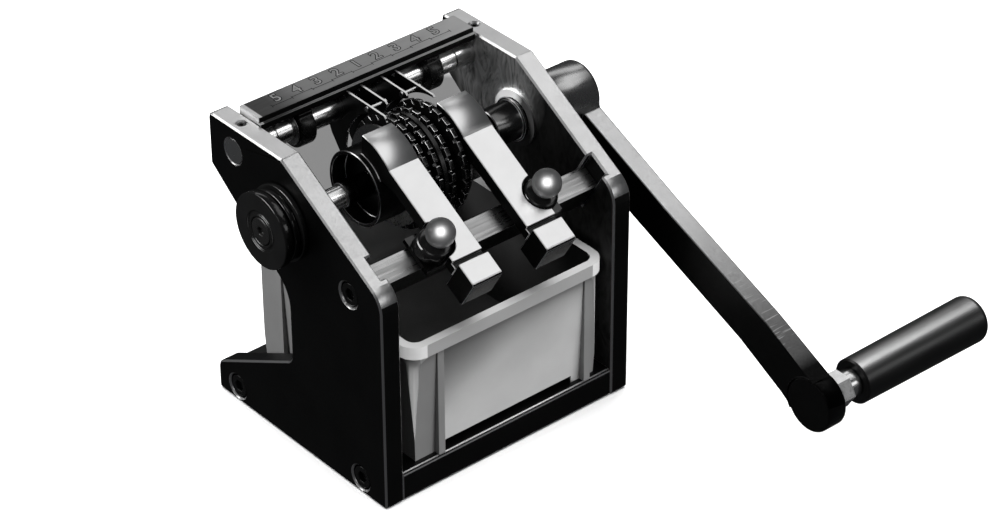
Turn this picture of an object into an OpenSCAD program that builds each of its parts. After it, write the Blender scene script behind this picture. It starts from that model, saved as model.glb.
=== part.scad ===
// Hand-cranked bench machine that cuts and forms component leads.
// X runs across the machine (+X is the crank side), +Y to the rear, +Z up.
// The origin is on the bench face, midway between the plates and midway along their feet.
// Sizes are in mm. Y values of the profiles are measured from the front edge of the plates.

/* [Frame] */
// width over the two side plates
frame_width = 112; // [112:1:114]
// thickness of a side plate
plate_t = 8; // [8:0.25:8.5]
// height of the side plates
frame_height = 118; // [118:0.5:119]
// height of the plates at their front edge
front_height = 86.6; // [86.2:0.1:87]
// depth of the flat top of the plates
top_depth = 41.2; // [41:0.1:41.6]
// depth of the feet of the plates
foot_depth = 96.6; // [96:0.1:98]
// thickness of the base plate
base_t = 11.4; // [11:0.1:11.4]

/* [Rotor] */
// main shaft diameter
shaft_d = 8; // [7.9:0.05:8]
// number of teeth on a carrier wheel
teeth = 26; // [24:1:28]
// tip radius of the outer carrier wheels
outer_carrier_r = 21.4; // [20.8:0.1:21.4]
// tip radius of the inner carrier wheels
inner_carrier_r = 20.2; // [19.8:0.1:20.6]
// radius of the forming discs
forming_r = 18.9; // [18.4:0.1:18.9]

/* [Crank] */
// distance from shaft to grip axis
crank_l = 145.5; // [140:0.5:146]
// angle of the crank below the horizontal
crank_drop = 26.9; // [25:0.1:28]
// length of the grip
grip_l = 61.4; // [56:0.2:64]
// grip diameter
grip_d = 17.2; // [16:0.2:18]

/* [Arms] */
// width of a pressure arm
arm_w = 13; // [12.5:0.1:13.2]
// thickness of a pressure arm
arm_t = 5.5; // [5.3:0.1:5.5]
// outer radius of the shoe on a pressure arm
shoe_r = 22; // [21.8:0.1:22]
// ball knob diameter
knob_d = 10.6; // [10:0.2:11]

/* [Guide] */
// guide rod diameter
rod_d = 9.3; // [9.2:0.02:9.3]
// thickness of a guide blade
blade_t = 0.8; // [0.6:0.1:0.8]

/* [Bin] */
// width of the bin over its rim
bin_w = 89; // [86:0.5:90]
// depth of the bin over its rim
bin_d = 92; // [88:0.5:93]
// height of the rim above the bench
bin_top = 60.8; // [58:0.2:61]
// wall thickness of the bin
bin_wall = 2; // [1.6:0.1:2.4]

/* [Output] */
// node to draw, or all

/* [Hidden] */
$fn = 96;
eps = 0.01;

outer_x = frame_width / 2;
inner_x = outer_x - plate_t;
half_depth = foot_depth / 2;
slope_end = 52.8;
slope = atan2(frame_height - front_height, slope_end);
fit = 0.02;
run = 0.05;

// shaft, rod and screw centres as [Y from the front edge, Z]
shaft_c = [52.5, 93.5];
rod_c = [80.2, 108.3];
base_screw_y = [14, 85.3];
base_z = [0, base_t];
base_screw_z = 6;

// crossbar, in the frame of the sloping edge: s along the slope, off normal to it
bar_s = [7.8, 16.8];
bar_off = [-19.8, -7.8];
bar_mid = [(bar_s[0] + bar_s[1]) / 2, (bar_off[0] + bar_off[1]) / 2];
pocket_depth = 2.4;

screw_r = 2.5;
head_r = 4.25;
head_h = 3.5;
counterbore_r = 4.75;
counterbore_h = 4;
screw_l = 14;
set_r = 1.5;

bearing_x = [outer_x - 7.5, outer_x - 1.5];
bearing_r = 9.5;
ball_r = 1.4;
ball_pitch_r = 6.75;
race_r = [5.7, 7.8];
lip_r = 7.5;
flange_r = 10.8;
flange_t = 0.8;

// positions along the shaft, measured from the middle
centre_half = 0.8;
inner_carrier_x = [2, 3.6];
outer_carrier_x = [7, 8.6];
forming_x = [11.2, 12];
hub_x = [12.3, 25.3];
hub_r = 14.2;
cup_r = 12.8;
cup_x = hub_x[1] - 6;
left_sleeve_r = 4.6;
arm_x0 = 10;
crank_x = [outer_x + 0.6, 79];
crank_arm_x = [70.6, 78.6];
crank_boss_x = [70.2, 78.6];
spindle_c = shaft_c + crank_l * [-cos(crank_drop), -sin(crank_drop)];
hex_x = [crank_boss_x[1], 88];
grip_x0 = 91.6;
spindle_x0 = 72.5;

post_at = [23.7, 12.1];
bracket_x = [25.5, 31.5];
bar_top_z = 120.5;
blade_clear_r = 22.7;
pin_c = [62, 116];
bar_bottom_z = 115.4;
bin_x = 1;
bin_floor_z = 14.4;
bin_corner_r = 7;
bin_column = 14;

// ---------------------------------------------------------------- helpers

// axis of revolution along +X through [y, z]
module along_x(c)
  translate([0, c[0] - half_depth, c[1]]) rotate([90, 0, 90]) children();

// side view drawn as [Y, Z], given a thickness from x0 to x1
module side_view(x)
  translate([x[0], -half_depth, 0]) rotate([90, 0, 90]) linear_extrude(x[1] - x[0]) children();

// frame of the sloping edge: x across, y along the slope, z out of it
module on_slope()
  translate([0, -half_depth, front_height]) rotate([slope, 0, 0]) children();

// copy on the left (side = -1) or on the right (side = 1)
module on_side(side)
  mirror([side < 0 ? 1 : 0, 0, 0]) children();

module both_sides()
  for (side = [-1, 1])
    on_side(side) children();

// ring from x[0] to x[1] about the local z axis
module ring(x, r, bore = 0)
  translate([0, 0, x[0]])
    difference() {
      cylinder(h = x[1] - x[0], r = r);
      if (bore > 0)
        translate([0, 0, -1]) cylinder(h = x[1] - x[0] + 2, r = bore);
    }

function flat(c) = [c[0], c[1]];
function before(p, i) = flat(p[(i + len(p) - 1) % len(p)]) - flat(p[i]);
function after(p, i) = flat(p[(i + 1) % len(p)]) - flat(p[i]);
function unit(v) = v / norm(v);
function half_angle(p, i) = acos(unit(before(p, i)) * unit(after(p, i))) / 2;
function convex(p, i) = cross(-before(p, i), after(p, i)) > 0;
function arc_centre(p, i) =
  flat(p[i]) + unit(unit(before(p, i)) + unit(after(p, i))) * p[i][2] / sin(half_angle(p, i));

// outline with true arcs at its corners; each corner is [x, y, radius], counter-clockwise
module rounded(p)
  difference() {
    union() {
      polygon([for (i = [0:len(p) - 1])
                 for (dir = [before(p, i), after(p, i)])
                   flat(p[i]) + unit(dir) * p[i][2] / tan(half_angle(p, i))]);
      for (i = [0:len(p) - 1])
        if (convex(p, i))
          translate(arc_centre(p, i)) circle(r = p[i][2]);
    }
    for (i = [0:len(p) - 1])
      if (!convex(p, i))
        translate(arc_centre(p, i)) circle(r = p[i][2]);
  }

// rectangle from a to b with corner radius r
module rounded_rect(a, b, r)
  rounded([[a[0], a[1], r], [b[0], a[1], r], [b[0], b[1], r], [a[0], b[1], r]]);

// socket screw along local z: head bottom at 0, head upwards
module socket_screw(length)
  difference() {
    union() {
      cylinder(h = head_h, r = head_r);
      translate([0, 0, -length]) cylinder(h = length + eps, r = screw_r);
    }
    translate([0, 0, head_h - 2]) cylinder(h = 3, r = 4 / sqrt(3), $fn = 6);
  }

// headless set screw along local z with a hexagon socket at its top
module set_screw(length)
  difference() {
    cylinder(h = length, r = set_r);
    translate([0, 0, length - 1.2]) cylinder(h = 2, r = 1.5 / sqrt(3), $fn = 6);
  }

// ---------------------------------------------------------------- frame

module plate_outline()
  rounded([[0, 0, 1.5], [foot_depth, 0, 1], [foot_depth, 11.5, 4], [51.6, 35.2, 4.5],
           [51.6, 64.3, 14], [slope_end + top_depth, 97.4, 2], [slope_end + top_depth, frame_height, 2],
           [slope_end, frame_height, 1], [0, front_height, 10]]);

module counterbored_hole(c)
  along_x(c) {
    translate([0, 0, inner_x - 1]) cylinder(h = plate_t + 2, r = screw_r + 0.25);
    translate([0, 0, outer_x - counterbore_h]) cylinder(h = counterbore_h + 1, r = counterbore_r);
  }

module side_plate()
  difference() {
    side_view([inner_x, outer_x]) plate_outline();
    along_x(shaft_c) {
      translate([0, 0, inner_x - 1]) cylinder(h = bearing_x[1] - inner_x + 1, r = bearing_r + fit);
      translate([0, 0, inner_x]) cylinder(h = plate_t + 1, r = lip_r);
    }
    along_x(rod_c) translate([0, 0, inner_x - 1]) cylinder(h = plate_t + 2, r = rod_d / 2 + fit);
    for (y = base_screw_y)
      counterbored_hole([y, base_screw_z]);
    on_slope() {
      translate([inner_x - 1, bar_s[0] - run, bar_off[0] - run])
        cube([pocket_depth + 1, bar_s[1] - bar_s[0] + 2 * run, 30]);
      translate([inner_x, bar_mid[0], bar_mid[1]]) rotate([0, 90, 0])
        cylinder(h = plate_t + 1, r = screw_r + 0.25);
      translate([outer_x - counterbore_h, bar_mid[0], bar_mid[1]]) rotate([0, 90, 0])
        cylinder(h = counterbore_h + 1, r = counterbore_r);
    }
    translate([outer_x - plate_t / 2, rod_c[0] - half_depth, rod_c[1]])
      cylinder(h = 20, r = set_r + run);
  }

module side_plate_left()
  color("#1a1a1c") on_side(-1) side_plate();

module side_plate_right()
  color("#1a1a1c") side_plate();

module base_plate()
  color("#232325")
    difference() {
      side_view([-inner_x, inner_x])
        polygon([[2.3, base_z[0]], [94, base_z[0]], [94, base_z[1]], [1.1, base_z[1]],
                 [0.3, base_z[1] - 0.8], [0.3, 0.6]]);
      both_sides()
        for (y = base_screw_y)
          along_x([y, base_screw_z]) translate([0, 0, inner_x - 12]) cylinder(h = 13, r = screw_r + run);
    }

module crossbar()
  color("#c8c8c8")
    on_slope()
      difference() {
        translate([-inner_x - pocket_depth + run, bar_s[0], bar_off[0]])
          cube([2 * (inner_x + pocket_depth - run), bar_s[1] - bar_s[0], bar_off[1] - bar_off[0]]);
        both_sides() {
          translate([inner_x - 12, bar_mid[0], bar_mid[1]]) rotate([0, 90, 0])
            cylinder(h = 20, r = screw_r + run);
          translate([post_at[0], post_at[1], bar_off[1] + 3.2]) sphere(r = 4);
        }
      }

module frame_screws()
  color("#303032")
    both_sides() {
      for (y = base_screw_y)
        along_x([y, base_screw_z]) translate([0, 0, outer_x - counterbore_h]) socket_screw(screw_l);
      on_slope() translate([outer_x - counterbore_h, bar_mid[0], bar_mid[1]]) rotate([0, 90, 0])
        socket_screw(screw_l);
    }

module bearing_ring(r_in, r_out)
  rotate_extrude()
    difference() {
      translate([r_in, bearing_x[0]]) square([r_out - r_in, bearing_x[1] - bearing_x[0]]);
      translate([ball_pitch_r, (bearing_x[0] + bearing_x[1]) / 2]) circle(r = ball_r + run);
    }

module bearing_outer_rings()
  color("#d0d0d2")
    both_sides()
      along_x(shaft_c) {
        bearing_ring(race_r[1], bearing_r);
        ring([inner_x - flange_t, inner_x], flange_r, race_r[1]);
        ring([inner_x - flange_t / 2, bearing_x[0] + 0.2], bearing_r, race_r[1]);
      }

module bearing_balls()
  color("#e0e0e2")
    both_sides()
      along_x(shaft_c)
        for (i = [0:7])
          rotate([0, 0, i * 45]) translate([ball_pitch_r, 0, (bearing_x[0] + bearing_x[1]) / 2])
            sphere(r = ball_r);

module guide_rod()
  color("#8f9093")
    along_x(rod_c)
      difference() {
        translate([0, 0, -outer_x + 0.1]) cylinder(h = frame_width - 0.2, r = rod_d / 2);
        for (x = [bracket_x[1] + 0.3, 39.6], side = [0, 1])
          mirror([0, 0, side]) ring([x, x + 1], rod_d, rod_d / 2 - 0.5);
      }

module rod_set_screws()
  color("#2a2a2c")
    both_sides()
      translate([outer_x - plate_t / 2, rod_c[0] - half_depth, rod_c[1] + rod_d / 2 + 0.05])
        set_screw(4.4);

module rod_clips()
  color("#b0b0b2")
    both_sides()
      along_x(rod_c)
        ring([bracket_x[1] + 0.4, bracket_x[1] + 1.2], 6.4, rod_d / 2 - 0.5 + fit);

module bar_brackets()
  color("#202022")
    both_sides()
      difference() {
        side_view(bracket_x)
          difference() {
            union() {
              translate(rod_c) circle(r = 7.8);
              translate([rod_c[0] - 5.4, rod_c[1]]) square([11.4, bar_bottom_z - rod_c[1]]);
            }
            translate(rod_c) circle(r = rod_d / 2 + fit);
            translate([rod_c[0] - 10, bar_bottom_z]) square(20);
          }
        translate([(bracket_x[0] + bracket_x[1]) / 2, rod_c[0] - half_depth, rod_c[1] - 20])
          cylinder(h = 20, r = set_r + run);
      }

module bracket_set_screws()
  color("#2a2a2c")
    both_sides()
      translate([(bracket_x[0] + bracket_x[1]) / 2, rod_c[0] - half_depth, rod_c[1] - rod_d / 2 - 0.05])
        rotate([180, 0, 0]) set_screw(3);

module scale_bar()
  color("#8a8b8e")
    side_view([-inner_x + 0.2, inner_x - 0.2])
      polygon([[75.2, bar_bottom_z], [86.5, bar_bottom_z], [87, bar_bottom_z + 0.5], [87, bar_top_z - 0.5],
               [86.5, bar_top_z], [75.5, bar_top_z], [75.5, 118.4], [74.5, 118.2], [74.5, 116.1]]);

// ---------------------------------------------------------------- rotor

module main_shaft()
  color("#a8a9ac")
    along_x(shaft_c)
      difference() {
        translate([0, 0, -outer_x - 7.5]) cylinder(h = outer_x + 7.5 + 77, r = shaft_d / 2);
        translate([0, 0, -outer_x - 8.5]) cylinder(h = 12, r = 2 + run);
      }

module bearing_inner_rings()
  color("#d0d0d2") both_sides() along_x(shaft_c) bearing_ring(shaft_d / 2 + fit, race_r[0]);

// turned end hub with two grooves and a recess for its screw
module left_hub()
  color("#101012")
    along_x(shaft_c) mirror([0, 0, 1])
      difference() {
        union() {
          ring([outer_x + 0.3, outer_x + 2.4], 14.3);
          ring([outer_x + 2.4, outer_x + 3.4], 12);
          ring([outer_x + 3.4, outer_x + 5.4], 13.4);
          ring([outer_x + 5.4, outer_x + 6.5], 12.2);
          ring([outer_x + 6.5, outer_x + 10], 14.2);
          ring([bearing_x[1], outer_x + 0.3], 5.4);
        }
        cylinder(h = 100, r = shaft_d / 2 + fit);
        translate([0, 0, outer_x + 7.5]) cylinder(h = 10, r = 5.3);
        ring([outer_x + 9.3, outer_x + 11], 7.6, 6.3);
      }

module hub_screw()
  color("#3a3a3c")
    along_x(shaft_c) mirror([0, 0, 1])
      difference() {
        union() {
          ring([outer_x + 7.5, outer_x + 10], 5);
          ring([outer_x - 2.4, outer_x + 8], 2);
        }
        translate([0, 0, outer_x + 8.5]) cylinder(h = 3, r = 3 / sqrt(3), $fn = 6);
      }

module shaft_collar()
  color("#9a9b9e")
    along_x(shaft_c) ring([-bearing_x[0], -43], 5.5, shaft_d / 2 + fit);

// spacers that hold the arms against the wheels: a short one at the left, a stepped one at the right
module shaft_sleeve()
  color("#1c1c1e")
    along_x(shaft_c)
      difference() {
        union() {
          ring([-31.5, -cup_x - 0.3], left_sleeve_r);
          ring([cup_x + 0.3, 34], 5.2);
          ring([34, 45.2], 7.4);
          ring([45.2, 46.2], 8.4);
          ring([46.2, bearing_x[0]], 5.4);
        }
        translate([0, 0, -60]) cylinder(h = 120, r = shaft_d / 2 + fit);
      }

// wheel with V-shaped seats for the leads
module toothed_wheel(x, r)
  translate([0, 0, x[0]])
    linear_extrude(x[1] - x[0])
      difference() {
        circle(r = r);
        circle(r = shaft_d / 2 + fit);
        for (i = [0:teeth - 1])
          rotate(i * 360 / teeth)
            polygon([[r - 1.9, -0.3], [r + 1, -1.5], [r + 1, 0.9], [r - 1.9, 0.3]]);
      }

module outer_carriers()
  color("#222224") both_sides() along_x(shaft_c) toothed_wheel(outer_carrier_x, outer_carrier_r);

module inner_carriers()
  color("#222224") both_sides() along_x(shaft_c) toothed_wheel(inner_carrier_x, inner_carrier_r);

module centre_disc()
  color("#2c2c2e")
    along_x(shaft_c) ring([-centre_half, centre_half], 19.6, shaft_d / 2 + fit);

module forming_discs()
  color("#4a4a4d")
    both_sides() along_x(shaft_c) ring(forming_x, forming_r, shaft_d / 2 + fit);

module wheel_spacers()
  color("#3a3a3c")
    both_sides()
      along_x(shaft_c)
        for (x = [[centre_half, inner_carrier_x[0]], [inner_carrier_x[1], outer_carrier_x[0]],
                  [outer_carrier_x[1], forming_x[0]]])
          ring(x, 10, shaft_d / 2 + fit);

// outline of the crank arm: x from hub to boss, y downwards
module crank_arm_outline() {
  k = crank_l / 145.5;
  polygon([[0, -2], [34 * k, -3.7], [58 * k, -4.8], [114 * k, -9.4], [crank_l, -10],
           [crank_l, 10], [134 * k, 8.4], [110 * k, 7.9], [48 * k, 12.6], [22, 12.8], [0, 11]]);
}

module crank()
  color("#9d9ea1")
    difference() {
      union() {
        along_x(shaft_c) {
          ring([crank_x[0], crank_x[1] - 1.2], 11.3);
          translate([0, 0, crank_x[1] - 1.2]) cylinder(h = 1.2, r1 = 11.3, r2 = 10.1);
          ring([bearing_x[1], crank_x[0] + 1], 5.4);
        }
        side_view(crank_arm_x) translate(shaft_c) rotate(180 + crank_drop) crank_arm_outline();
        along_x(spindle_c) ring(crank_boss_x, 10.4);
      }
      along_x(shaft_c) cylinder(h = 77, r = shaft_d / 2 + fit);
      along_x(spindle_c) translate([0, 0, spindle_x0 - 0.1]) cylinder(h = 30, r = 4 + fit);
      translate([62, shaft_c[0] - half_depth, shaft_c[1]]) rotate([-120, 0, 0])
        cylinder(h = 20, r = screw_r + run);
    }

module crank_set_screw()
  color("#2a2a2c")
    translate([62, shaft_c[0] - half_depth, shaft_c[1]]) rotate([-120, 0, 0])
      translate([0, 0, shaft_d / 2 + 0.05])
        difference() {
          cylinder(h = 6, r = screw_r);
          translate([0, 0, 4]) cylinder(h = 3, r = 2.5 / sqrt(3), $fn = 6);
        }

module spindle()
  color("#c4c5c8")
    along_x(spindle_c) {
      ring([spindle_x0, hex_x[0] + 1], 4);
      translate([0, 0, hex_x[0]]) cylinder(h = 8, r = 12 / sqrt(3), $fn = 6);
      ring([hex_x[0] + 8, grip_x0 - 0.3], 5.4);
      ring([grip_x0 - 1, grip_x0 + grip_l - 4.5], 4);
    }

// turned grip, a little thicker towards its free end, with a rounded end
module grip()
  color("#0c0c0e")
    along_x(spindle_c)
      rotate_extrude()
        difference() {
          union() {
            polygon([[0, grip_x0], [grip_d / 2 - 0.6, grip_x0], [grip_d / 2, grip_x0 + 0.6],
                     [grip_d / 2 + 0.5, grip_x0 + grip_l - 3], [0, grip_x0 + grip_l - 3]]);
            translate([0, grip_x0 + grip_l - 3]) square([grip_d / 2 - 2.5, 3]);
            intersection() {
              translate([grip_d / 2 - 2.5, grip_x0 + grip_l - 3]) circle(r = 3);
              translate([0, grip_x0 + grip_l - 4]) square([20, 5]);
            }
          }
          translate([-1, grip_x0 - 1]) square([1 + 4 + run, grip_l - 3]);
          translate([-20, 0]) square([20, 200]);
        }

// ---------------------------------------------------------------- arms

// slice of the plane about the shaft, from angle a[0] to angle a[1]
module slice(a)
  polygon([[0, 0], 40 * [cos(a[0]), sin(a[0])], 40 * [cos((a[0] + a[1]) / 2), sin((a[0] + a[1]) / 2)],
           40 * [cos(a[1]), sin(a[1])]]);

// side outline of an arm: flat bar along the slope and a shoe over the top of the forming disc
module arm_outline() {
  translate([0, front_height]) rotate(slope)
    polygon([[2.5, 0], [42.6, 0], [48, -4], [48, -10], [36, -arm_t], [0.2, -arm_t], [0.2, -1.4], [2.5, -1.4]]);
  translate(shaft_c)
    intersection() {
      circle(r = shoe_r);
      slice([95, 143]);
    }
}

module arm()
  difference() {
    union() {
      side_view([arm_x0, hub_x[0]])
        difference() {
          arm_outline();
          translate(shaft_c) circle(r = 19.4);
        }
      side_view([hub_x[0], arm_x0 + arm_w]) arm_outline();
      along_x(shaft_c) ring(hub_x, hub_r);
    }
    along_x(shaft_c) {
      cylinder(h = 60, r = shaft_d / 2 + run);
      translate([0, 0, cup_x]) cylinder(h = 10, r = cup_r);
    }
    on_slope() translate([post_at[0], post_at[1], -20]) cylinder(h = 30, r = 7.2);
  }

module arm_left()
  color("#d2d2d4") on_side(-1) arm();

module arm_right()
  color("#d2d2d4") arm();

module end_block()
  on_slope()
    translate([arm_x0, 0, 0]) rotate([90, 0, 90])
      linear_extrude(arm_w)
        polygon([[-9.1, -10.7], [-8.3, -11.5], [0.2, -11.5], [0.2, 1.8], [-8.3, 1.8], [-9.1, 1]]);

module end_block_left()
  color("#161618") on_side(-1) end_block();

module end_block_right()
  color("#161618") end_block();

module latch_bracket()
  on_slope()
    difference() {
      translate([12, 5, -arm_t - 2]) cube([18.2, 14.2, 2]);
      translate([post_at[0], post_at[1], -20]) cylinder(h = 30, r = 2 + run);
    }

module latch_bracket_left()
  color("#141416") on_side(-1) latch_bracket();

module latch_bracket_right()
  color("#141416") latch_bracket();

module latch_post()
  on_slope()
    translate([post_at[0], post_at[1], 0])
      difference() {
        union() {
          translate([0, 0, -arm_t]) cylinder(h = 4, r = 6.6);
          translate([0, 0, -arm_t + 4]) cylinder(h = 1, r1 = 6.6, r2 = 5.6);
        }
        translate([0, 0, -20]) cylinder(h = 30, r = 2 + run);
      }

module latch_post_left()
  color("#141416") on_side(-1) latch_post();

module latch_post_right()
  color("#141416") latch_post();

module knob()
  on_slope()
    translate([post_at[0], post_at[1], 0]) {
      translate([0, 0, 5.2]) sphere(r = knob_d / 2);
      translate([0, 0, -arm_t - 2.1]) cylinder(h = 8, r = 2);
    }

module knob_left()
  color("#d8d8da") on_side(-1) knob();

module knob_right()
  color("#d8d8da") knob();

// ---------------------------------------------------------------- bin

// tapered block with rounded upright corners, inset all round, from z[0] to z[1]
module bin_block(inset, z) {
  w = bin_w / 2 - 1.3 - inset;
  d = bin_d - 2.6 - 2 * inset;
  taper = 2 * (bin_top - z[0]) / (bin_top - bin_floor_z);
  intersection() {
    translate([bin_x, 200 - half_depth, 0]) rotate([90, 0, 0])
      linear_extrude(400)
        polygon([[-w + taper, z[0]], [w - taper, z[0]], [w, bin_top], [w, z[1]], [-w, z[1]], [-w, bin_top]]);
    side_view([-100, 100])
      translate([1.3 + inset, 0])
        polygon([[taper, z[0]], [d - taper, z[0]], [d, bin_top], [d, z[1]], [0, z[1]], [0, bin_top]]);
    translate([bin_x, -half_depth, z[0]])
      linear_extrude(z[1] - z[0])
        rounded_rect([-w, 1.3 + inset], [w, 1.3 + inset + d], bin_corner_r - 1 - inset);
  }
}

module bin()
  color("#8c8d90")
    difference() {
      union() {
        bin_block(0, [bin_floor_z, bin_top]);
        translate([bin_x, -half_depth, bin_top - 5])
          linear_extrude(5) rounded_rect([-bin_w / 2, 0], [bin_w / 2, bin_d], bin_corner_r);
        intersection() {
          bin_block(0, [base_z[1], bin_top]);
          for (x = [-bin_w / 2, bin_w / 2 - bin_column], y = [0, bin_d - bin_column])
            translate([bin_x + x, y - half_depth, 0]) cube([bin_column, bin_column, bin_floor_z + 2]);
        }
        for (x = [-31, 36])
          translate([bin_x + x - 1.4, 0.9 - half_depth, base_z[1]]) cube([2.8, 4, bin_top - 5 - base_z[1]]);
        for (y = [16, bin_d - 16])
          translate([bin_x - bin_w / 2 + 0.9, y - 1.4 - half_depth, base_z[1]])
            cube([4, 2.8, bin_top - 5 - base_z[1]]);
      }
      bin_block(bin_wall, [bin_floor_z + bin_wall, bin_top + 1]);
    }

// ---------------------------------------------------------------- guides

// sheet that reaches from the front tip over the rod and down behind the wheels
module blade_outline(tip_y)
  difference() {
    polygon([[tip_y, 116.3], [tip_y + 0.8, 117.1], [74.2, 117.5], [74.2, 114.9], [81.5, 114.9], [86.8, 110],
             [86.2, 104], [83.2, 96.8], [77.6, 89.2], [70, 89.2], [60, 100]]);
    translate(shaft_c) circle(r = blade_clear_r);
    translate(rod_c) circle(r = rod_d / 2 + run);
  }

module blades()
  for (b = [[4.9 - blade_t, 59.6], [10.4, 52.4]])
    side_view([b[0], b[0] + blade_t])
      difference() {
        blade_outline(b[1]);
        translate(pin_c) circle(r = 0.6 + fit);
      }

module blades_left()
  color("#c0c1c4") on_side(-1) blades();

module blades_right()
  color("#c0c1c4") blades();

module carriage()
  along_x(rod_c) ring([4.9, 10.4], 6.6, rod_d / 2 + run);

module carriage_left()
  color("#1e1e20") on_side(-1) carriage();

module carriage_right()
  color("#1e1e20") carriage();

module guide_pin()
  along_x(pin_c) {
    ring([3.8, 11.4], 0.6);
    ring([11.2, 11.9], 1);
    ring([3.4, 4.1], 1);
  }

module guide_pin_left()
  color("#d8d8da") on_side(-1) guide_pin();

module guide_pin_right()
  color("#d8d8da") guide_pin();

// ---------------------------------------------------------------- output

side_plate_left();
side_plate_right();
base_plate();
crossbar();
frame_screws();
bearing_outer_rings();
bearing_balls();
guide_rod();
rod_set_screws();
rod_clips();
bar_brackets();
bracket_set_screws();
scale_bar();
main_shaft();
bearing_inner_rings();
left_hub();
hub_screw();
shaft_collar();
shaft_sleeve();
outer_carriers();
inner_carriers();
centre_disc();
forming_discs();
wheel_spacers();
crank();
crank_set_screw();
spindle();
grip();
arm_left();
end_block_left();
latch_bracket_left();
latch_post_left();
knob_left();
arm_right();
end_block_right();
latch_bracket_right();
latch_post_right();
knob_right();
bin();
carriage_left();
blades_left();
guide_pin_left();
carriage_right();
blades_right();
guide_pin_right();
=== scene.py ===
# Looks for the hand-cranked component lead former: materials, fine detail, floor, light and camera.
# All lengths are in metres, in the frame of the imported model.
import math

import bmesh
import bpy
from mathutils import Matrix, Vector


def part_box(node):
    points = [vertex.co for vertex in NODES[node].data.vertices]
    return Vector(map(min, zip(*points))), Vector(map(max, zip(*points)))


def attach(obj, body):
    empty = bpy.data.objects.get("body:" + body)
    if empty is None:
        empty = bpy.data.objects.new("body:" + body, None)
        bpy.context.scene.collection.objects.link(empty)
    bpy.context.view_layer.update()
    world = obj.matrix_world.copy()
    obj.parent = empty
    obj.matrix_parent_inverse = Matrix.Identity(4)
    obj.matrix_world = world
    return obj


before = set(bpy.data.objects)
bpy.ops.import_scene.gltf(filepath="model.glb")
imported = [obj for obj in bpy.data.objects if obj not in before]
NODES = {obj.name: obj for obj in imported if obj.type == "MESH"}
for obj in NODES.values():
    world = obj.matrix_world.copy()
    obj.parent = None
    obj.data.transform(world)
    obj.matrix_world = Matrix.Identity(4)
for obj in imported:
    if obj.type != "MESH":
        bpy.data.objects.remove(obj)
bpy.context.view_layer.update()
MM = 0.001
BAR_SPAN = 100      # length in mm that the guide bar's painted highlight and painted shade are laid out on

# ---------------------------------------------------------------- materials


def new_material(name):
    m = bpy.data.materials.new(name)
    m.use_nodes = True
    tree = m.node_tree
    tree.nodes.clear()
    out = tree.nodes.new("ShaderNodeOutputMaterial")
    bsdf = tree.nodes.new("ShaderNodeBsdfPrincipled")
    tree.links.new(bsdf.outputs["BSDF"], out.inputs["Surface"])
    return m, tree, bsdf


def noise(tree, scale, stretch=(1, 1, 1), detail=4.0):
    """Noise in object space, in 1/m, stretched along the axes where stretch is small."""
    coord = tree.nodes.new("ShaderNodeTexCoord")
    mapping = tree.nodes.new("ShaderNodeMapping")
    mapping.inputs["Scale"].default_value = stretch
    tex = tree.nodes.new("ShaderNodeTexNoise")
    tex.inputs["Scale"].default_value = scale
    tex.inputs["Detail"].default_value = detail
    tree.links.new(coord.outputs["Object"], mapping.inputs["Vector"])
    tree.links.new(mapping.outputs["Vector"], tex.inputs["Vector"])
    return tex.outputs["Fac"]


def ramp(tree, value, stops):
    """Grey ramp: stops is a list of (position, grey)."""
    node = tree.nodes.new("ShaderNodeValToRGB")
    elements = node.color_ramp.elements
    while len(elements) < len(stops):
        elements.new(0.5)
    for element, (at, grey) in zip(elements, stops):
        element.position = at
        element.color = (grey, grey, grey, 1)
    tree.links.new(value, node.inputs["Fac"])
    return node.outputs["Color"]


def bump(tree, bsdf, height, strength):
    node = tree.nodes.new("ShaderNodeBump")
    node.inputs["Strength"].default_value = strength
    node.inputs["Distance"].default_value = 0.03 * MM
    tree.links.new(height, node.inputs["Height"])
    tree.links.new(node.outputs["Normal"], bsdf.inputs["Normal"])


def shade(name, low, high, rough, grain, metallic=0.0, specular=0.5, stretch=(1, 1, 1),
          bump_strength=0.0):
    """Base finish: a grey between low and high, and a fine grain in roughness and in bump if asked."""
    m, tree, bsdf = new_material(name)
    fine = noise(tree, grain, stretch, 5)
    coarse = noise(tree, 60, (1, 1, 1), 3)
    tree.links.new(ramp(tree, coarse, [(0.3, low), (0.7, high)]), bsdf.inputs["Base Color"])
    roughness = ramp(tree, fine, [(0.3, rough[0]), (0.7, rough[1])])
    tree.links.new(roughness, bsdf.inputs["Roughness"])
    if bump_strength > 0:
        bump(tree, bsdf, fine, bump_strength)
    bsdf.inputs["Metallic"].default_value = metallic
    bsdf.inputs["Specular IOR Level"].default_value = specular
    return m


def falloff(tree, centre, size, turn=0):
    """1 at the centre and 0 outside the ellipsoid of that size, in object space; used to place painted
    sheen, painted highlight and painted shadow.
    """
    coord = tree.nodes.new("ShaderNodeTexCoord")
    place = tree.nodes.new("ShaderNodeMapping")
    place.vector_type = "TEXTURE"
    place.inputs["Location"].default_value = centre
    place.inputs["Rotation"].default_value = (0, 0, math.radians(turn))
    place.inputs["Scale"].default_value = size
    tree.links.new(coord.outputs["Object"], place.inputs["Vector"])
    painted_spot = tree.nodes.new("ShaderNodeTexGradient")
    painted_spot.gradient_type = "SPHERICAL"
    tree.links.new(place.outputs["Vector"], painted_spot.inputs["Vector"])
    return painted_spot.outputs["Fac"]


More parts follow.
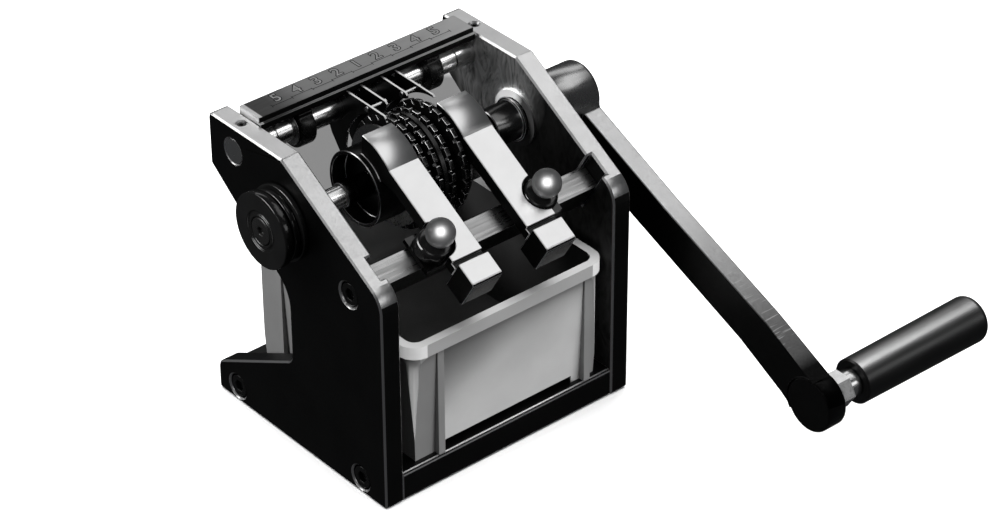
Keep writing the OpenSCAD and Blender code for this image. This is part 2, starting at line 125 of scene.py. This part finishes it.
def milled_face_painted_sheen():
    """Dark plate face with the long curved marks that a cutter leaves, shown bright only in a painted
    sheen around the bearing's upper rear.
    """
    m, tree, bsdf = new_material("milled_face_painted_sheen")
    marks = noise(tree, 300, (1, 0.5, 0.22), 5)
    marks.node.inputs["Distortion"].default_value = 2.6
    patch = noise(tree, 28, (1, 1, 1), 2)
    mixer = tree.nodes.new("ShaderNodeMath")
    mixer.operation = "MULTIPLY"
    tree.links.new(marks, mixer.inputs[0])
    tree.links.new(patch, mixer.inputs[1])
    colour = ramp(tree, mixer.outputs[0], [(0.12, 0.15), (0.2, 0.6), (0.29, 1.0), (0.38, 0.5)])
    # painted sheen: the marks keep their bright colour inside this spot by the bearing and go almost
    # black outside it
    painted_spot = falloff(tree, (0.048, 0.018, 0.106), (0.05, 0.03, 0.026))
    fade = tree.nodes.new("ShaderNodeMix")
    fade.data_type = "RGBA"
    fade.inputs["A"].default_value = (0.008, 0.008, 0.008, 1)
    tree.links.new(ramp(tree, painted_spot, [(0.0, 0.07), (0.35, 1.0)]), fade.inputs["Factor"])
    tree.links.new(colour, fade.inputs["B"])
    tree.links.new(fade.outputs["Result"], bsdf.inputs["Base Color"])
    tree.links.new(ramp(tree, marks, [(0.3, 0.5), (0.7, 0.62)]), bsdf.inputs["Roughness"])
    bump(tree, bsdf, marks, 0.1)
    bsdf.inputs["Metallic"].default_value = 0.7
    return m


def guide_bar_face(wear_and_painted_highlight):
    """Grey anodised bar with painted light along it: a painted highlight at its left end up to the given
    share of its length, then painted shade, dark and lighter to the right.
    """
    m, tree, bsdf = new_material("grey_anodised_painted_light")
    coord = tree.nodes.new("ShaderNodeTexCoord")
    split = tree.nodes.new("ShaderNodeSeparateXYZ")
    tree.links.new(coord.outputs["Object"], split.inputs["Vector"])
    along = tree.nodes.new("ShaderNodeMapRange")
    along.inputs["From Min"].default_value = -BAR_SPAN / 2 * MM
    along.inputs["From Max"].default_value = BAR_SPAN / 2 * MM
    tree.links.new(split.outputs["X"], along.inputs["Value"])
    # painted highlight at the left end, then painted shade from dark to lighter towards the right
    stops = [(0.0, 0.95), (wear_and_painted_highlight, 0.95), (wear_and_painted_highlight + 0.004, 0.1), (wear_and_painted_highlight + 0.08, 0.12),
             (0.25, 0.36), (0.75, 0.5), (0.95, 0.66)]
    tree.links.new(ramp(tree, along.outputs["Result"], stops), bsdf.inputs["Base Color"])
    fine = noise(tree, 1500, (0.05, 1, 1), 4)
    tree.links.new(ramp(tree, fine, [(0.3, 0.38), (0.7, 0.48)]), bsdf.inputs["Roughness"])
    bump(tree, bsdf, fine, 0.05)
    bsdf.inputs["Metallic"].default_value = 1.0
    return m


def ground_ring_painted_highlight():
    """Ground bearing face with a painted highlight at its upper rear and painted shade below."""
    m, tree, bsdf = new_material("ground_ring_painted_highlight")
    # painted highlight inside this spot, painted shade outside it
    painted_spot = falloff(tree, (0.048, 0.011, 0.103), (0.02, 0.011, 0.011))
    tree.links.new(ramp(tree, painted_spot, [(0.0, 0.05), (0.35, 0.85)]), bsdf.inputs["Base Color"])
    bsdf.inputs["Metallic"].default_value = 0.3
    bsdf.inputs["Roughness"].default_value = 0.45
    return m


def crank_face():
    """Top of the crank arm: grainy light metal, with painted shade darkening it towards the grip, and
    scratched across towards the grip.
    """
    m, tree, bsdf = new_material("crank_top_painted_shade")
    coord = tree.nodes.new("ShaderNodeTexCoord")
    split = tree.nodes.new("ShaderNodeSeparateXYZ")
    tree.links.new(coord.outputs["Object"], split.inputs["Vector"])
    along = tree.nodes.new("ShaderNodeMapRange")
    along.inputs["From Min"].default_value = -0.122
    along.inputs["From Max"].default_value = -0.01
    tree.links.new(split.outputs["Y"], along.inputs["Value"])
    # painted shade: light near the hub, down to almost black at the grip end
    painted_shade_tone = ramp(tree, along.outputs["Result"],
                [(0.0, 0.01), (0.05, 0.14), (0.2, 0.24), (0.4, 0.5), (0.65, 0.85)])
    scratches = ramp(tree, noise(tree, 1300, (0.06, 1, 1), 2), [(0.58, 0.0), (0.7, 1.0)])
    wear_and_painted_highlight = ramp(tree, along.outputs["Result"], [(0.05, 0.0), (0.12, 0.7), (0.42, 0.0)])
    grain = noise(tree, 1500, (1, 1, 1), 4)
    amount = tree.nodes.new("ShaderNodeMath")
    amount.operation = "MULTIPLY"
    tree.links.new(scratches, amount.inputs[0])
    tree.links.new(wear_and_painted_highlight, amount.inputs[1])
    mixed = tree.nodes.new("ShaderNodeMix")
    mixed.data_type = "RGBA"
    mixed.inputs["B"].default_value = (0.8, 0.8, 0.8, 1)
    tree.links.new(amount.outputs[0], mixed.inputs["Factor"])
    tree.links.new(painted_shade_tone, mixed.inputs["A"])
    tree.links.new(mixed.outputs["Result"], bsdf.inputs["Base Color"])
    tree.links.new(ramp(tree, grain, [(0.3, 0.3), (0.7, 0.5)]), bsdf.inputs["Roughness"])
    bump(tree, bsdf, grain, 0.5)
    bsdf.inputs["Metallic"].default_value = 1.0
    return m


BAR_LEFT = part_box("scale_bar")[0].x / MM
# length in mm of the painted highlight at the guide bar's left end
PAINTED_HIGHLIGHT_LENGTH = 1.3

MATS = {
    "plate": shade("satin_black_plate", 0.006, 0.011, (0.38, 0.5), 1600, specular=0.25,
                   bump_strength=0.05),
    # bright metal for machined bevels, also used as painted light on the black plates' upward faces
    "edge": shade("machined_edge_and_painted_light", 0.78, 0.9, (0.28, 0.42), 1500, metallic=1.0, bump_strength=0.08),
    "chamfer": shade("bright_chamfer", 0.85, 0.95, (0.3, 0.4), 1500, metallic=1.0, bump_strength=0.05),
    "black_steel": shade("blackened_steel", 0.006, 0.014, (0.22, 0.34), 1400, bump_strength=0.04),
    "black_side": shade("black_side", 0.004, 0.008, (0.3, 0.42), 1400, specular=0.3,
                        bump_strength=0.04),
    "brushed": shade("brushed_steel", 0.35, 0.52, (0.2, 0.46), 1300, metallic=1.0,
                     stretch=(0.03, 1, 1), bump_strength=0.3),
    "nickel": shade("satin_nickel", 0.86, 0.93, (0.29, 0.31), 500, metallic=1.0),
    "bright": shade("polished_steel", 0.8, 0.88, (0.2, 0.28), 300, metallic=1.0),
    "ball": shade("satin_ball", 0.85, 0.9, (0.43, 0.47), 300, metallic=1.0),
    "rod": shade("turned_rod", 0.8, 0.88, (0.2, 0.26), 300, metallic=1.0),
    "hub": shade("crank_hub", 0.48, 0.56, (0.25, 0.3), 300, metallic=1.0),
    "shoe": shade("satin_shoe", 0.86, 0.93, (0.4, 0.42), 500, metallic=1.0),
    "dark_steel": shade("dark_turned_steel", 0.1, 0.14, (0.2, 0.24), 300, metallic=1.0),
    "gloss": shade("gloss_black", 0.004, 0.008, (0.13, 0.17), 100, specular=0.6),
    "grip": shade("grip_black", 0.004, 0.007, (0.3, 0.38), 300, specular=0.8, stretch=(0.2, 1, 1)),
    # painted shade: the bin's inside faces, the same plastic, made nearly black
    "bin_inside_painted_shade": shade("moulded_grey_inside_painted_shade", 0.018, 0.03, (0.45, 0.55), 2600, specular=0.4,
                        bump_strength=0.05),
    # painted light: the bin's rim, the same plastic, made lighter
    "bin_rim_painted_light": shade("moulded_grey_rim_painted_light", 0.44, 0.48, (0.42, 0.52), 2600, specular=0.4,
                     bump_strength=0.05),
    "bin": shade("moulded_grey", 0.27, 0.3, (0.42, 0.52), 2600, specular=0.4, bump_strength=0.05),
    # black of the print, also used as painted shade on the guide bar's front faces
    "ink_and_painted_shade": shade("black_ink_and_painted_shade", 0.004, 0.006, (0.5, 0.6), 1500, specular=0.2, bump_strength=0.02),
    "numeral": shade("numeral_fill", 0.5, 0.6, (0.35, 0.45), 1500, metallic=1.0, bump_strength=0.02),
}
MATS["swirl_painted_sheen"] = milled_face_painted_sheen()
# the guide bar: painted highlight at its left end and painted shade along it
MATS["bar"] = guide_bar_face((BAR_LEFT + PAINTED_HIGHLIGHT_LENGTH + BAR_SPAN / 2) / BAR_SPAN)
MATS["cast_painted_shade"] = crank_face()
MATS["ring"] = ground_ring_painted_highlight()
USES = {
    "plate": ["side_plate_left", "side_plate_right", "base_plate"],
    "black_steel": ["frame_screws", "rod_set_screws", "bar_brackets", "bracket_set_screws", "hub_screw",
                    "outer_carriers", "inner_carriers", "centre_disc", "wheel_spacers",
                    "crank_set_screw", "carriage_left", "carriage_right"],
    "gloss": ["left_hub", "latch_bracket_left", "latch_bracket_right", "latch_post_left",
              "latch_post_right"],
    "brushed": ["crossbar", "rod_clips", "forming_discs"],
    "rod": ["guide_rod", "main_shaft", "shaft_collar"],
    # on the arms and end blocks this black is painted shade on their nickel-plated sides
    "black_side": ["blades_left", "blades_right", "arm_left", "arm_right", "end_block_left",
                   "end_block_right", "crank"],
    "dark_steel": ["shaft_sleeve"],
    # the bearing rings carry a painted highlight and painted shade
    "ring": ["bearing_outer_rings", "bearing_inner_rings"],
    "bright": ["bearing_balls", "spindle", "guide_pin_left", "guide_pin_right"],
    "ball": ["knob_left", "knob_right"],
    "bar": ["scale_bar"],
    "grip": ["grip"],
    "bin": ["bin"],
}


def material_slot(obj, key):
    """Index of that material on the object, added if it isn't there yet."""
    mats = obj.data.materials
    if MATS[key].name not in mats:
        mats.append(MATS[key])
    return mats.find(MATS[key].name)


def finish_faces(name, key, test):
    """Gives the faces of a CAD node that pass test(normal, centre in mm) another finish."""
    obj = NODES[name]
    index = material_slot(obj, key)
    for face in obj.data.polygons:
        if test(face.normal, face.center / MM):
            face.material_index = index


def bevelled(name, width, edge_key=None, clamp=False):
    """Welds the node's mesh, clears its flat triangles and breaks its edges, all as modifiers."""
    obj = NODES[name]
    weld = obj.modifiers.new("weld", "WELD")
    weld.merge_threshold = 1e-6
    flat = obj.modifiers.new("flat", "DECIMATE")
    flat.decimate_type = "DISSOLVE"
    flat.angle_limit = math.radians(0.8)
    flat.delimit = {"MATERIAL"}
    edge = obj.modifiers.new("edge", "BEVEL")
    edge.width = width * MM
    edge.segments = 1 if edge_key else 2
    edge.limit_method = "ANGLE"
    edge.angle_limit = math.radians(28)
    edge.harden_normals = not edge_key
    edge.use_clamp_overlap = clamp
    if edge_key:
        edge.material = material_slot(obj, edge_key)


for key, names in USES.items():
    for name in names:
        NODES[name].data.materials.clear()
        NODES[name].data.materials.append(MATS[key])

# the plates' slope, the shaft's centre and the shoe's radius, in mm as in the CAD
FRAME_TOP = 118
SLOPE_DEPTH = 52.8
FRONT_Y, FRONT_Z = -48.3, 86.6
SLOPE = math.atan2(FRAME_TOP - FRONT_Z, SLOPE_DEPTH)
SHAFT_Y, SHAFT_Z = 4.2, 93.5
SHOE_RADIUS = 22
BIN_WALL = 2.8
BIN_LOW, BIN_HIGH = [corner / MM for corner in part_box("bin")]


def inside_bin(normal, c):
    """Faces more than a wall in from the bin's sides and below its rim that face up or inwards."""
    margin = min(c.x - BIN_LOW.x, BIN_HIGH.x - c.x, c.y - BIN_LOW.y, BIN_HIGH.y - c.y)
    middle = (BIN_LOW + BIN_HIGH) / 2
    inward = normal.x * (middle.x - c.x) + normal.y * (middle.y - c.y)
    faces_in = normal.z > 0.5 or (abs(normal.z) < 0.5 and inward > 0)
    return margin > BIN_WALL and c.z < BIN_HIGH.z - 0.5 and faces_in


def on_arm_top(normal, c):
    """The arm's bar along its top, flush with the slope."""
    above = (c.z - FRONT_Z) * math.cos(SLOPE) - (c.y - FRONT_Y) * math.sin(SLOPE)
    return abs(normal.x) < 0.1 and normal.z > 0 and above > -0.3


def on_shoe(normal, c):
    """The round outside of the arm's shoe."""
    off_shoe = math.hypot(c.y - SHAFT_Y, c.z - SHAFT_Z) - SHOE_RADIUS
    return abs(normal.x) < 0.1 and normal.z > 0 and abs(off_shoe) < 0.3


for side in ("left", "right"):
    # painted light: the black plates' upward faces are given bright metal
    finish_faces("side_plate_" + side, "edge", lambda n, c: n.z > 0.35 and c.z > 70)
    # the arms and end blocks are black but for nickel on the shoe and tops: the black sides are painted
    # shade on nickel-plated parts
    finish_faces("arm_" + side, "shoe", on_shoe)
    finish_faces("arm_" + side, "nickel", on_arm_top)
    finish_faces("end_block_" + side, "nickel", lambda n, c: n.z > 0.6)
    bevelled("side_plate_" + side, 0.65, "chamfer")
    bevelled("arm_" + side, 0.25, "nickel")
    bevelled("end_block_" + side, 0.25, "nickel")
    finish_faces("blades_" + side, "nickel", lambda n, c: abs(n.x) < 0.5)
    bevelled("latch_post_" + side, 0.4)
    bevelled("knob_" + side, 0.1)
# the right plate's inner face: cutter marks with a painted sheen around the bearing
finish_faces("side_plate_right", "swirl_painted_sheen", lambda n, c: n.x < -0.9 and c.x < 50)
# the crank's top faces: light metal with painted shade towards the grip
finish_faces("crank", "cast_painted_shade", lambda n, c: n.z > 0.3 and c.y < -2 and abs(n.x) < 0.3)
finish_faces("crank", "hub", lambda n, c: c.y > -8 and c.z > 80 and abs(n.x) < 0.9)
# painted light on the bin's rim
finish_faces("bin", "bin_rim_painted_light", lambda n, c: c.z > BIN_HIGH.z - 6 and n.z > -0.5)
# painted shade on the bin's inside faces
finish_faces("bin", "bin_inside_painted_shade", inside_bin)
# painted shade: the brushed crossbar's sides and underside are given black
finish_faces("crossbar", "black_side", lambda n, c: n.z < 0.2)
# painted shade: the guide bar's front faces are given the black of the print
finish_faces("scale_bar", "ink_and_painted_shade", lambda n, c: n.y < -0.7)
bevelled("base_plate", 0.3, "chamfer")
bevelled("crossbar", 0.25, "brushed")
bevelled("scale_bar", 0.4)
bevelled("crank", 0.7)
bevelled("bin", 0.5, clamp=True)
for name in ("left_hub", "hub_screw", "rod_clips", "shaft_collar", "bar_brackets", "frame_screws"):
    bevelled(name, 0.35)
bevelled("shaft_sleeve", 0.3, "edge")
for name in ("outer_carriers", "inner_carriers"):
    bevelled(name, 0.12, "edge")

# ---------------------------------------------------------------- scale on the guide bar

BAR_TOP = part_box("scale_bar")[1].z
BAR_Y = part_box("scale_bar")[0].y
PITCH = 8.8                  # distance between numerals, in mm
NUMERAL_IN = 5.9             # from the bar's front edge to the numerals' feet
NUMERAL_HEIGHT = 4.9
INK_RISE = 0.004 * MM        # the numeral's dark outline and its face, above the bar
FACE_RISE = 0.014 * MM
CAPITAL = 0.7                # height of a figure as a share of the font size


def glyph(name, text, x, key, offset, rise):
    """One numeral as thin raised text, read from the front, grown by offset all round."""
    curve = bpy.data.curves.new(name, "FONT")
    curve.body = text
    curve.size = NUMERAL_HEIGHT * MM / CAPITAL
    curve.align_x = "CENTER"
    curve.offset = offset
    curve.extrude = 0.004 * MM
    obj = bpy.data.objects.new(name, curve)
    bpy.context.scene.collection.objects.link(obj)
    obj.location = (x, BAR_Y + NUMERAL_IN * MM, BAR_TOP + rise)
    obj.data.materials.append(MATS[key])
    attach(obj, "frame")


def boxes(name, corners, key, body):
    """One mesh made of boxes, each given by its two corners in mm."""
    bm = bmesh.new()
    for low, high in corners:
        made = bmesh.ops.create_cube(bm, size=1)
        for v in made["verts"]:
            for axis in range(3):
                v.co[axis] = (low[axis] if v.co[axis] < 0 else high[axis]) * MM
    mesh = bpy.data.meshes.new(name)
    bm.to_mesh(mesh)
    bm.free()
    obj = bpy.data.objects.new(name, mesh)
    bpy.context.scene.collection.objects.link(obj)
    obj.data.materials.append(MATS[key])
    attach(obj, body)


def make_scale():
    """Numerals counting out from the middle, and the stepped line with its ticks in front of them."""
    digits = "543212345"
    for i, text in enumerate(digits):
        x = (i - len(digits) // 2) * PITCH * MM
        glyph(f"numeral_edge_{i}", text, x, "ink_and_painted_shade", 0.36 * MM, INK_RISE)
        glyph(f"numeral_{i}", text, x, "numeral", 0.02 * MM, FACE_RISE)
    half = 0.13
    front = BAR_Y / MM
    bottom = BAR_TOP / MM - 0.05
    top = BAR_TOP / MM + 0.01
    steps = []
    for i in range(len(digits) + 1):
        x = (i - len(digits) / 2) * PITCH
        steps.append(((x - half, front + 3.6, bottom), (x + half, front + 5.3, top)))
        if i < len(digits):
            y = front + (4.9 if i % 2 else 4.4)
            steps.append(((x, y - half, bottom), (x + PITCH, y + half, top)))
    boxes("scale_line", steps, "ink_and_painted_shade", "frame")


make_scale()

# ---------------------------------------------------------------- floor, light, camera

FLOOR_REACH = 4
AIM = Vector((0, 0, 0.07))


def shaded_floor():
    """Pale floor with a darker patch painted where the camera sees it through the machine's gaps."""
    m, tree, bsdf = new_material("pale_floor")
    painted_spot = falloff(tree, (0.099, 0.126, 0), (0.0855, 0.0825, 1), 12)
    tree.links.new(ramp(tree, painted_spot, [(0.0, 0.9), (0.3, 0.095)]), bsdf.inputs["Base Color"])
    bsdf.inputs["Roughness"].default_value = 0.75
    bsdf.inputs["Specular IOR Level"].default_value = 0.1
    return m


def make_floor():
    """Wide floor just under the feet, lit by its own light and kept out of the machine's reflections."""
    mesh = bpy.data.meshes.new("floor")
    bm = bmesh.new()
    bmesh.ops.create_grid(bm, x_segments=1, y_segments=1, size=FLOOR_REACH)
    bm.to_mesh(mesh)
    bm.free()
    floor = bpy.data.objects.new("floor", mesh)
    bpy.context.scene.collection.objects.link(floor)
    floor.location.z = -0.3 * MM
    floor.data.materials.append(shaded_floor())
    floor.visible_glossy = False
    floor.visible_diffuse = False
    return floor


def area_light(name, direction, distance, size, radiance, only=None, skip=None):
    """Soft box at a distance in a direction from the object, for only some pieces or all but skip."""
    data = bpy.data.lights.new(name, "AREA")
    data.shape = "RECTANGLE"
    data.size, data.size_y = size
    data.energy = radiance * math.pi * size[0] * size[1]
    light = bpy.data.objects.new(name, data)
    bpy.context.scene.collection.objects.link(light)
    aim = Vector(direction).normalized()
    light.location = AIM + aim * distance
    light.rotation_mode = "QUATERNION"
    light.rotation_quaternion = aim.to_track_quat("Z", "Y")
    if only or skip:
        receivers = bpy.data.collections.new(name + "_on")
        for obj in only or skip:
            receivers.objects.link(obj)
        light.light_linking.receiver_collection = receivers
    if skip:
        for entry in receivers.collection_objects:
            entry.light_linking.link_state = "EXCLUDE"


def make_camera():
    data = bpy.data.cameras.new("camera")
    data.sensor_width = 36
    data.lens = 124.5
    data.clip_end = 20
    cam = bpy.data.objects.new("camera", data)
    bpy.context.scene.collection.objects.link(cam)
    azimuth, elevation, roll = math.radians(-40.153), math.radians(33.876), math.radians(-0.2715)
    turn = (Matrix.Rotation(azimuth, 4, "Z") @ Matrix.Rotation(math.pi / 2 - elevation, 4, "X")
            @ Matrix.Rotation(roll, 4, "Z"))
    cam.matrix_world = Matrix.Translation((-0.6350, -0.7961, 0.7380)) @ turn
    bpy.context.scene.camera = cam


def make_world():
    world = bpy.data.worlds.new("studio")
    world.use_nodes = True
    world.node_tree.nodes["Background"].inputs["Color"].default_value = (0.95, 0.97, 1.0, 1)
    world.node_tree.nodes["Background"].inputs["Strength"].default_value = 0.04
    bpy.context.scene.world = world


floor = make_floor()
knobs = [NODES["knob_left"], NODES["knob_right"]]
wheels = [NODES["outer_carriers"], NODES["inner_carriers"]]
bearings = [NODES["bearing_outer_rings"]]
turned = [NODES["guide_rod"], NODES["main_shaft"], NODES["shaft_collar"], NODES["shaft_sleeve"]]
glossy = [NODES[name] for name in ("left_hub", "hub_screw", "latch_post_left", "latch_post_right")]
area_light("key", (0.53, -0.17, 0.82), 1.0, (0.8, 0.42), 1.08, skip=knobs)
area_light("back", (0.5, 0.62, 0.62), 1.2, (0.9, 0.4), 0.95, skip=knobs)
area_light("front", (0.5, -0.8, 0.32), 1.2, (0.7, 0.3), 1.3, skip=knobs + [NODES["crank"]])
area_light("near_camera", (-0.32, -0.68, 0.66), 1.3, (0.5, 0.4), 1.2, skip=knobs)
area_light("rim", (-0.56, 0.63, 0.53), 1.2, (0.5, 0.5), 2.6, skip=knobs)
area_light("side", (-0.9, -0.05, 0.6), 1.3, (0.3, 0.5), 0.8, skip=knobs)
area_light("knob_light", (-0.45, -0.6, 0.66), 1.2, (1.4, 1.3), 2.4, knobs)
area_light("rod_light", (0.53, -0.55, 0.62), 1.2, (0.7, 0.2), 3.2, turned)
area_light("hub_light", (-0.72, 0.2, 0.66), 1.2, (0.9, 0.5), 13.0, glossy)
area_light("grip_light", (0.535, 0.16, 0.83), 1.0, (0.9, 0.2), 26.0, [NODES["grip"]])
area_light("wheel_light", (-0.81, -0.13, 0.6), 1.2, (0.4, 0.4), 3.0, wheels)
area_light("bearing_light", (-0.25, 0.35, 0.9), 1.0, (0.6, 0.6), 30.0, bearings)
area_light("floor_light", (0.1, 0.1, 1.0), 1.6, (3.0, 3.0), 4.5, [floor])
area_light("bin_top", (0.2, -0.3, 1.0), 1.2, (0.8, 0.8), 9.0, [NODES["bin"]])
area_light("bin_front", (0.3, -1.0, 0.5), 1.2, (0.5, 0.3), 10.0, [NODES["bin"]])
area_light("bin_side", (-1.0, 0.35, 0.3), 1.2, (0.3, 0.3), 28.0, [NODES["bin"]])
make_world()
make_camera()
bpy.context.scene.view_settings.view_transform = "Standard"
